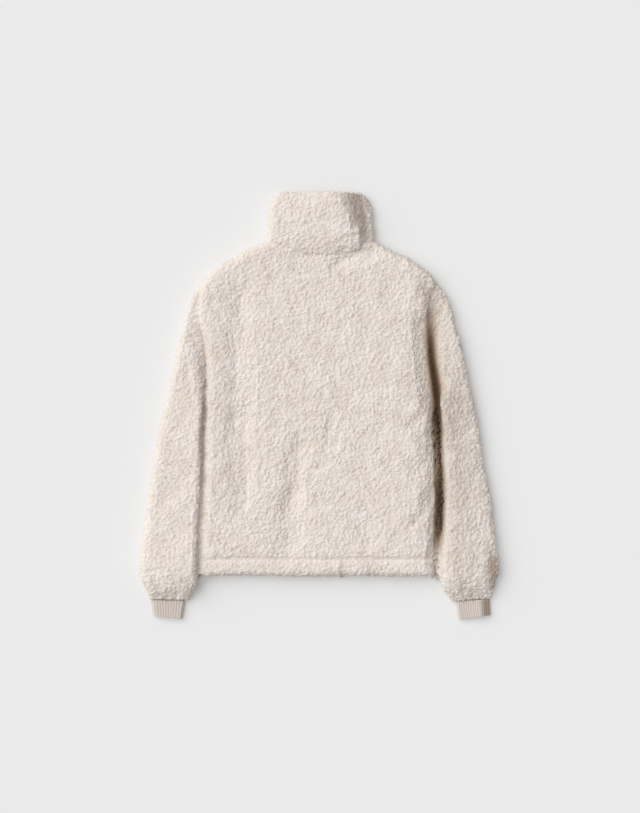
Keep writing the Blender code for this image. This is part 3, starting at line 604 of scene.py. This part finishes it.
def softenShading(mesh):  # light passes through tufts, so they shade more like the cloth below
    count = len(mesh.vertices)
    own, lay = np.empty(count * 3, np.float32), np.empty(count * 3, np.float32)
    mesh.vertex_normals.foreach_get("vector", own)
    mesh.attributes["lay"].data.foreach_get("vector", lay)
    own, lay = own.reshape(-1, 3), lay.reshape(-1, 3)
    outward = np.clip(((own * lay).sum(axis=1) - shadeFrom) / shadeOver, 0, 1)
    share = (tuftSettings["soft"] * outward)[:, None]
    blend = own * (1 - share) + lay * share
    blend /= np.maximum(np.linalg.norm(blend, axis=1, keepdims=True), 1e-6)
    mesh.normals_split_custom_set_from_vertices(blend.tolist())
    mesh.attributes.remove(mesh.attributes["lay"])


def measurePile(bm):
    layer = bm.verts.layers.float.new("pileLength")
    lengths = pileLengths(np.array([vert.co for vert in bm.verts]))
    for vert, length in zip(bm.verts, lengths):
        vert[layer] = length


def settled(base):  # the mesh that an object's modifiers make, in place of the object
    shown = base.evaluated_get(bpy.context.evaluated_depsgraph_get())
    mesh = bpy.data.meshes.new_from_object(shown)
    bpy.data.objects.remove(base)
    return mesh


def openMesh(mesh):  # a bmesh in place of a mesh
    bm = bmesh.new()
    bm.from_mesh(mesh)
    bpy.data.meshes.remove(mesh)
    return bm


def joinedSolids(solids):
    joined = bmesh.new()
    kind, cloth = [joined.faces.layers.int.new(name) for name in ("kind", "cloth")]
    for number, solid in enumerate(solids):
        first = len(joined.faces)
        mesh = bpy.data.meshes.new("solid")
        solid.to_mesh(mesh)
        joined.from_mesh(mesh)
        bpy.data.meshes.remove(mesh)
        joined.faces.ensure_lookup_table()
        for face in joined.faces[first:]:
            face[cloth] = number
    for rows in packings:
        packSlot(joined, rows, kind, cloth)
    return joined


def tuftsOn(solids):  # one even mesh over all the cloths, so that the pile closes over seams
    source = joinedSolids(solids)
    even = objectFrom(source.copy(), "evenCloth")
    remesh = even.modifiers.new("even", "REMESH")
    remesh.mode, remesh.voxel_size = "VOXEL", tuftSettings["voxel"]
    bm = openMesh(settled(even))
    kind, cloth = [source.faces.layers.int[name] for name in ("kind", "cloth")]
    source.verts.index_update()
    showing = [face for face in source.faces if face[kind] > 0]
    nearest = BVHTree.FromPolygons([vert.co for vert in source.verts],
                                   [[vert.index for vert in face.verts] for face in showing])
    mark = bm.faces.layers.int.new("cloth")
    drop = []
    for face in bm.faces:
        place, normal, index, distance = nearest.find_nearest(face.calc_center_median())
        face[mark] = showing[index][cloth] * 2 + showing[index][kind] - 1  # odd on the floor
        if distance > tuftSettings["voxel"] or normal.dot(face.normal) < 0:
            drop.append(face)
    bmesh.ops.delete(bm, geom=drop, context="FACES")
    source.free()
    measurePile(bm)
    base = objectFrom(bm, "tuftsBase")
    base.modifiers.new("recipe", "NODES").node_group = raiseTufts("tufts")
    return settled(base)


def clothShare(mesh, number, under):  # one cloth's tufts, with under 1 for those on the floor
    bm = bmesh.new()
    bm.from_mesh(mesh)
    cloth = bm.faces.layers.int["cloth"]
    other = [face for face in bm.faces if face[cloth] != number * 2 + under]
    bmesh.ops.delete(bm, geom=other, context="FACES")
    share = bpy.data.meshes.new("share")
    bm.to_mesh(share)
    bm.free()
    return share


def markPaintedShade(mesh, places):
    mesh.attributes.new("creased", "FLOAT", "POINT")
    # painted shade from creases and folds, read by the materials
    dark = paintedShadeAndCut(places)[0].astype(np.float32)
    mesh.attributes["creased"].data.foreach_set("value", dark)


def pilePiece(tufts, name, material, keep=None):  # a mesh of tufts, less what keep leaves out
    bm = bmesh.new()
    bm.from_mesh(tufts)
    if keep:
        drop = [f for f in bm.faces if not keep(f.calc_center_median())]
        bmesh.ops.delete(bm, geom=drop, context="FACES")
    piece = objectFrom(bm, name, material)
    mesh = piece.data
    places = np.empty(len(mesh.vertices) * 3, np.float32)
    mesh.vertices.foreach_get("co", places)
    places = places.reshape(-1, 3)
    low = places[:, 2] < 2 * floorClear  # tufts that meet the surface are pressed flat on it
    pressed = np.exp((places[low, 2] - 2 * floorClear) / (3 * floorClear))
    places[low, 2] = floorClear * (1 + pressed)
    mesh.vertices.foreach_set("co", places.ravel())
    markPaintedShade(mesh, places)
    softenShading(mesh)
    print("pile", name, sum(len(f.vertices) - 2 for f in mesh.polygons), "triangles")
    return piece


# Rib cuffs, zip teeth and thread
cuffSettings = {"rounds": 2, "length": 0.036, "knitShare": 0.97,
                "cuff_left": ("cuffLeft", 0.130), "cuff_right": ("cuffRight", 0.131)}


def ribCuff(node, material):
    name, around = cuffSettings[node]
    base = objectFrom(mergedCopy(node), name + "Base")
    smooth = base.modifiers.new("smooth", "SUBSURF")
    smooth.levels = smooth.render_levels = cuffSettings["rounds"]
    bm = openMesh(settled(base))
    places = np.array([vert.co for vert in bm.verts])
    piece = objectFrom(bm, name, material)
    markPaintedShade(piece.data, places)
    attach(piece, jacketBody)
    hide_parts(node)


teethSettings = {"pitch": 2.6 * mm, "reach": 3.6 * mm, "breadth": 1.45 * mm, "edge": 0.22 * mm,
                 "head": 0.8}


def zipTeeth(material):  # two rows that have closed into each other
    corners = [vert.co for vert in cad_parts["zip_chain"].data.vertices]
    low, high = [Vector([find(place[k] for place in corners) for k in range(3)])
                 for find in (min, max)]
    thick, pitch = high.z - low.z, teethSettings["pitch"]
    bm = bmesh.new()
    count = int((high.y - low.y - teethSettings["breadth"]) / (pitch / 2))
    for k in range(count + 1):
        side = -1 if k % 2 else 1
        made = bmesh.ops.create_cube(bm, size=1.0)["verts"]
        size = Vector((teethSettings["reach"], teethSettings["breadth"], thick))
        bmesh.ops.scale(bm, vec=size, verts=made)
        middle = Vector((side * (high.x - size.x / 2), low.y + size.y / 2 + k * pitch / 2,
                         (low.z + high.z) / 2))
        for vert in made:  # the head is narrower than the foot at the tape
            if vert.co.x * side < 0:
                vert.co.y *= teethSettings["head"]
        bmesh.ops.translate(bm, vec=middle, verts=made)
    bmesh.ops.bevel(bm, geom=bm.edges[:], offset=teethSettings["edge"], offset_type="OFFSET",
                    segments=1, profile=0.5, affect="EDGES", clamp_overlap=True, material=-1)
    teeth = objectFrom(bm, "zipTeeth", material, smooth=False)
    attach(teeth, jacketBody)
    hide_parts("zip_chain")
    print("zip teeth", count + 1)


threadSettings = {"stitch": 3.4 * mm, "every": 4.4 * mm, "thick": 0.7 * mm,
                  "lift": 0.3 * mm, "above": 60 * mm, "usual": 26 * mm}  # usual: with no pile below


def stitchRow(bm, start, end, height):  # small raised ovals along a line, at a height each
    way = end - start
    count = int(way.length / threadSettings["every"])
    for k in range(count + 1):
        place = start + way * (k / count)
        place.z = height(place)
        turn = Matrix.Rotation(math.atan2(way.y, way.x), 4, "Z")
        long, thick = threadSettings["stitch"] / 2, threadSettings["thick"] / 2
        shape = Matrix.Translation(place) @ turn @ Matrix.Diagonal((long, thick, thick, 1))
        bmesh.ops.create_icosphere(bm, subdivisions=1, radius=1.0, matrix=shape)


def hemStitches(tufts, material):
    ground = BVHTree.FromPolygons([vert.co for vert in tufts.vertices],
                                  [face.vertices for face in tufts.polygons])

    def onPile(place):
        start = Vector((place.x, place.y, threadSettings["above"]))
        hit = ground.ray_cast(start, Vector((0, 0, -1)))[0]
        return hit.z + threadSettings["lift"] if hit else threadSettings["usual"]

    bm = bmesh.new()
    start, end = [Vector((x, stitchLine["y"], 0)) for x in stitchLine["ends"]]
    stitchRow(bm, start, end, onPile)
    thread = objectFrom(bm, "hemStitches", material)
    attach(thread, jacketBody)
    print("hem stitches ready")


# Camera, light and floor
photoView = {
    "millimetresAPixel": 1.85, "high": 813, "lens": 85.0, "sensor": 36.0,
    "middle": (1.85 * mm, -1.2 * mm), "level": 18 * mm,
}
studio = {  # key and sky together light the floor to one, so its colour is what shows
    "keyFrom": (-0.85, 0.45, 1.0), "keyShare": 0.58, "keySoftness": 65,
    "floorColour": srgb(234, 234, 234), "floorGlow": 0.2, "floorSize": 40.0,
}


def makeCamera():
    data = bpy.data.cameras.new("photoCamera")
    data.lens, data.sensor_width = photoView["lens"], photoView["sensor"]
    data.sensor_fit = "AUTO"
    camera = bpy.data.objects.new("photoCamera", data)
    tall = photoView["high"] * photoView["millimetresAPixel"] * mm
    distance = tall / photoView["sensor"] * photoView["lens"]
    camera.location = (*photoView["middle"], photoView["level"] + distance)
    bpy.context.scene.collection.objects.link(camera)
    bpy.context.scene.camera = camera


def makeStudio():
    bm = bmesh.new()
    bmesh.ops.create_grid(bm, x_segments=1, y_segments=1, size=studio["floorSize"] / 2)
    finish = Finish("paleFloor")
    matt = [c * (1 - studio["floorGlow"]) for c in studio["floorColour"][:3]] + [1.0]
    finish.surface(Base_Color=matt, Roughness=0.9, Specular_IOR_Level=0.0,
                   Emission_Color=studio["floorColour"], Emission_Strength=studio["floorGlow"])
    floor = objectFrom(bm, "floor", finish.material)
    towards = Vector(studio["keyFrom"]).normalized()
    key = bpy.data.lights.new("key", "SUN")
    key.energy = studio["keyShare"] * math.pi / towards.z
    key.angle = math.radians(studio["keySoftness"])
    lamp = bpy.data.objects.new("key", key)
    lamp.rotation_euler = (-towards).to_track_quat("-Z", "Y").to_euler()
    bpy.context.scene.collection.objects.link(lamp)
    world = bpy.data.worlds.new("studioAir")
    world.use_nodes = True
    sky = world.node_tree.nodes["Background"]
    sky.inputs["Color"].default_value = (1, 1, 1, 1)
    sky.inputs["Strength"].default_value = 1 - studio["keyShare"]
    bpy.context.scene.world = world
    bpy.context.scene.view_settings.view_transform = "Standard"


makeCamera()
makeStudio()
print("studio ready")
pileMaterial, groundMaterial = pileFinish(), groundFinish()
ribMaterial, tapeMaterial, metalMaterial = ribFinish(), tapeFinish(), metalFinish()
teethMaterial, threadMaterial = mouldedFinish(), threadFinish()

# For each cloth: name, cut width and length in metres, flat area, what it lies on
clothCuts = {
    "back_panel": ("back", (0.46, 0.63), 0.262, ["front_left", "front_right"]),
    "front_left": ("frontLeft", (0.24, 0.62), 0.125, []),
    "front_right": ("frontRight", (0.24, 0.62), 0.125, []),
    "sleeve_left": ("sleeveLeft", (0.22, 0.56), 0.098, []),
    "sleeve_right": ("sleeveRight", (0.22, 0.56), 0.093, []),
    "collar": ("collar", (0.40, 0.13), 0.046, []),
}
lowerEnd, middleEnd = -120 * mm, 75 * mm  # the back's pile is in three pieces, from the hem up
bands = {
    "Lower": lambda place: place.y < lowerEnd,
    "Middle": lambda place: lowerEnd <= place.y < middleEnd,
    "Upper": lambda place: place.y >= middleEnd,
}
solids = [markedSolid(node) for node in clothCuts]
grounds = [groundCloth(solid, cut[0] + "Ground", groundMaterial)
           for solid, cut in zip(solids, clothCuts.values())]
allTufts = tuftsOn(solids)
for solid in solids:
    solid.free()
print("tufts ready")
for number, (node, (name, flat, area, under)) in enumerate(clothCuts.items()):
    ground, tufts = grounds[number], clothShare(allTufts, number, 0)
    parts = bands if node == "back_panel" else {"": None}
    pieces = [pilePiece(tufts, name + "Pile" + part, pileMaterial, keep)
              for part, keep in parts.items()]
    if node != "back_panel":
        below = clothShare(allTufts, number, 1)
        pieces.append(pilePiece(below, name + "PileUnder", pileMaterial))
    for piece in [ground] + pieces:
        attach(piece, jacketBody)
    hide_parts(node)
    print(name, "ready")

ribCuff("cuff_left", ribMaterial)
ribCuff("cuff_right", ribMaterial)
zipTeeth(teethMaterial)
hemStitches(allTufts, threadMaterial)
for node, material in (("zip_tape_left", tapeMaterial), ("zip_tape_right", tapeMaterial),
                       ("zip_box", teethMaterial), ("zip_slider", metalMaterial),
                       ("zip_pull", metalMaterial)):
    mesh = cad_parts[node].data
    mesh.materials.clear()
    mesh.materials.append(material)

bpy.data.meshes.remove(allTufts)
